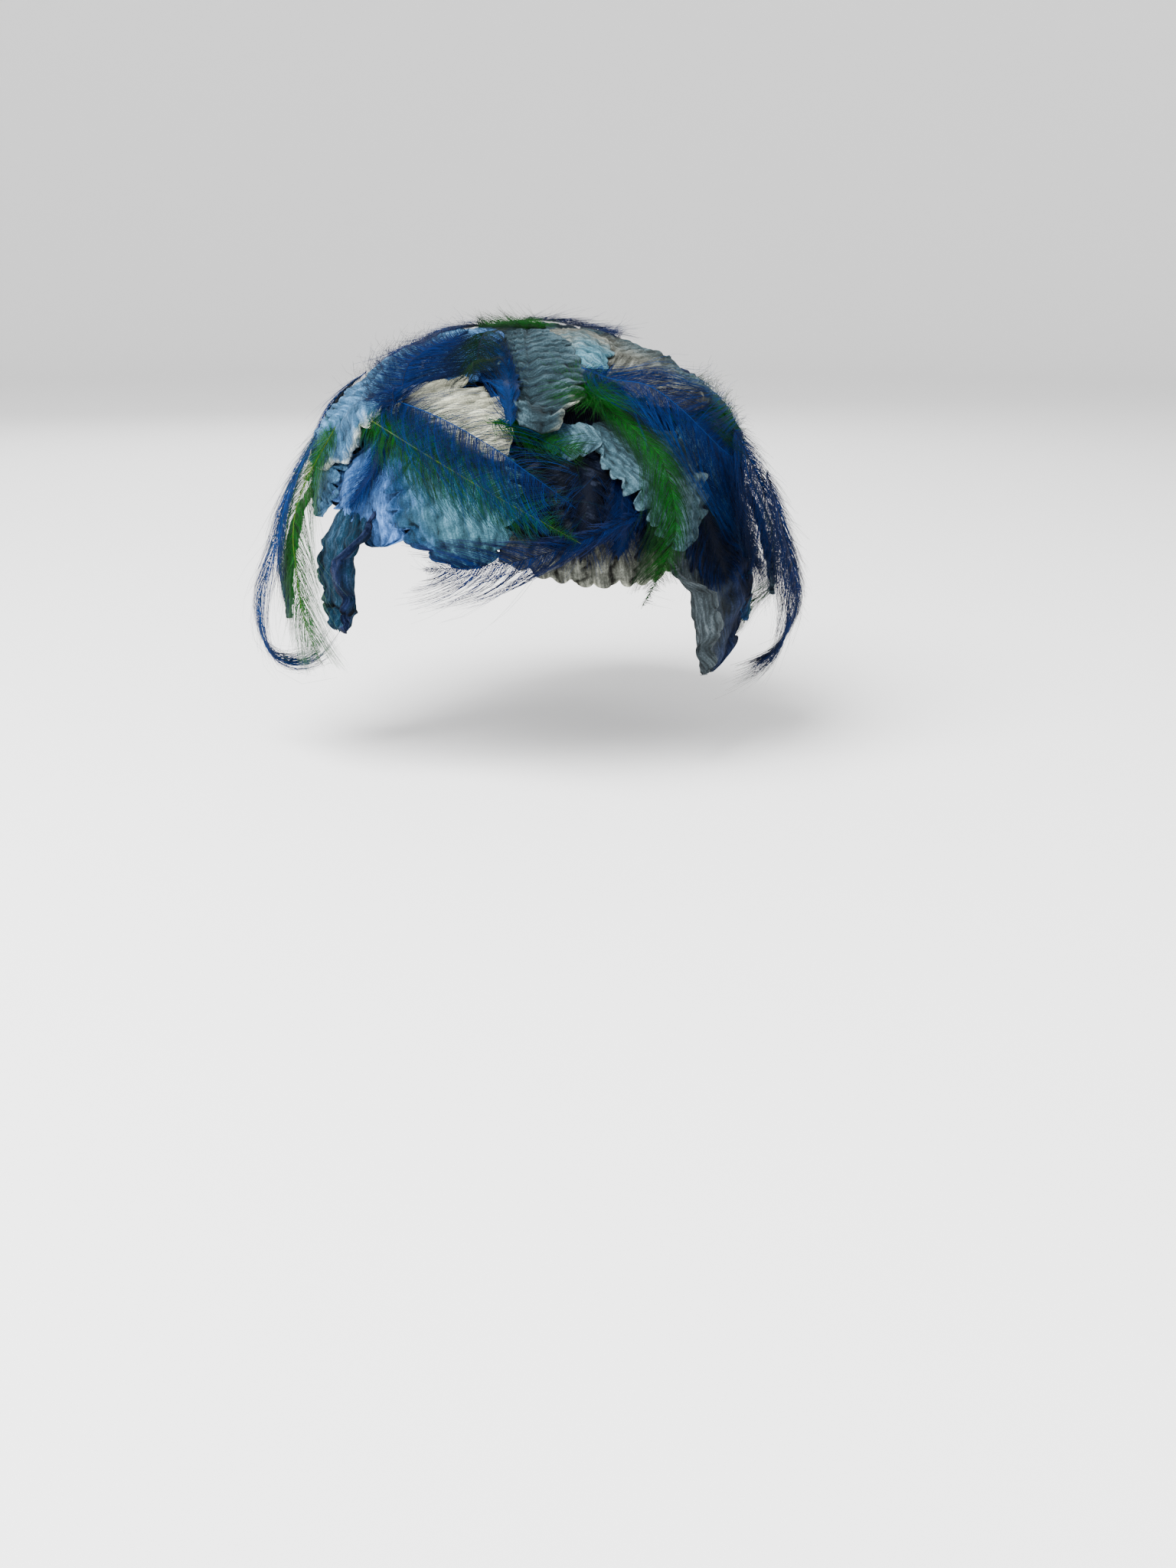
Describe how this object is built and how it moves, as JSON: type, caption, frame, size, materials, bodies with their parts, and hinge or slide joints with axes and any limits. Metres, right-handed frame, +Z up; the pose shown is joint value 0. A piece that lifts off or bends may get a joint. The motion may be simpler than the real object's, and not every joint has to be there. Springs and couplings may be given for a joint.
{
  "type": "feather and velvet leaf cap hat",
  "caption": "Close-fitting dome cap covered in overlapping pressed velvet leaves and hackle feathers, with leaves and feathers hanging at the ears.",
  "frame": {"origin": "inside of the crown's middle, where the top of the wearer's head touches it", "axes": "+Z up, -Y towards the wearer's face, +X towards the wearer's left"},
  "size_m": [0.2054, 0.1944, 0.1261],
  "materials": {
    "shell": "stiffened cloth, matt",
    "taupe": "dyed cotton velvet, matt pile",
    "ink": "dyed cotton velvet, matt pile",
    "periwinkle": "dyed cotton velvet, matt pile",
    "teal": "dyed cotton velvet, matt pile",
    "slate": "dyed cotton velvet, matt pile",
    "sky": "dyed cotton velvet, matt pile",
    "ivory": "dyed cotton velvet, matt pile",
    "navy": "dyed feather, soft sheen",
    "royal": "dyed feather, soft sheen",
    "blue": "dyed feather, soft sheen",
    "green": "dyed feather, soft sheen",
    "moss": "dyed feather, soft sheen"
  },
  "bodies": {
    "root": {"cap_shell": "shell", "leaf_hem_nape": "taupe", "leaf_nape_ink": "ink", "leaf_nape_blue": "periwinkle", "leaf_nape_teal": "teal", "leaf_side_right": "slate", "leaf_side_left": "teal", "leaf_front_1": "sky", "leaf_front_5": "ivory", "leaf_front_2": "teal", "leaf_front_4": "slate", "leaf_front_3": "periwinkle", "feather_nape_1": "navy", "feather_nape_2": "royal", "feather_nape_3": "navy", "feather_hem_sweep": "blue", "ear_leaf_right_front": "sky", "ear_leaf_left_front": "taupe", "ear_leaf_right": "slate", "ear_leaf_left": "sky", "feather_side_right_1": "navy", "feather_side_right_2": "royal", "leaf_crown_front": "slate", "leaf_crown_left": "slate", "leaf_crown_side": "sky", "leaf_crown_right": "periwinkle", "leaf_ivory_left": "ivory", "leaf_right_edge": "teal", "leaf_right_lobed": "sky", "leaf_small_lobe": "periwinkle", "feather_blue_lock": "royal", "feather_green_sweep": "green", "feather_moss_centre": "moss", "feather_blue_sweep": "blue", "feather_green_edge": "green", "leaf_left_edge": "ivory", "leaf_left_upper": "sky", "leaf_taupe_right": "taupe", "feather_green_right": "green", "leaf_pale_right": "sky", "leaf_slate_centre": "slate", "feather_blue_right": "blue", "feather_blue_crown_left": "blue", "feather_royal_upright": "royal", "feather_moss_left": "moss", "feather_crown_green": "green", "feather_crown_right": "navy", "feather_crown_left": "navy", "feather_front_1": "blue", "feather_front_2": "green", "feather_front_3": "royal", "feather_front_4": "green", "feather_front_5": "blue", "ear_leaf_right_far": "ink", "feather_left_fall": "blue", "feather_left_green": "green", "feather_left_hook": "blue", "feather_right_sweep": "royal", "feather_right_hook": "navy", "feather_right_green_hook": "green"}
  },
  "joints": []
}
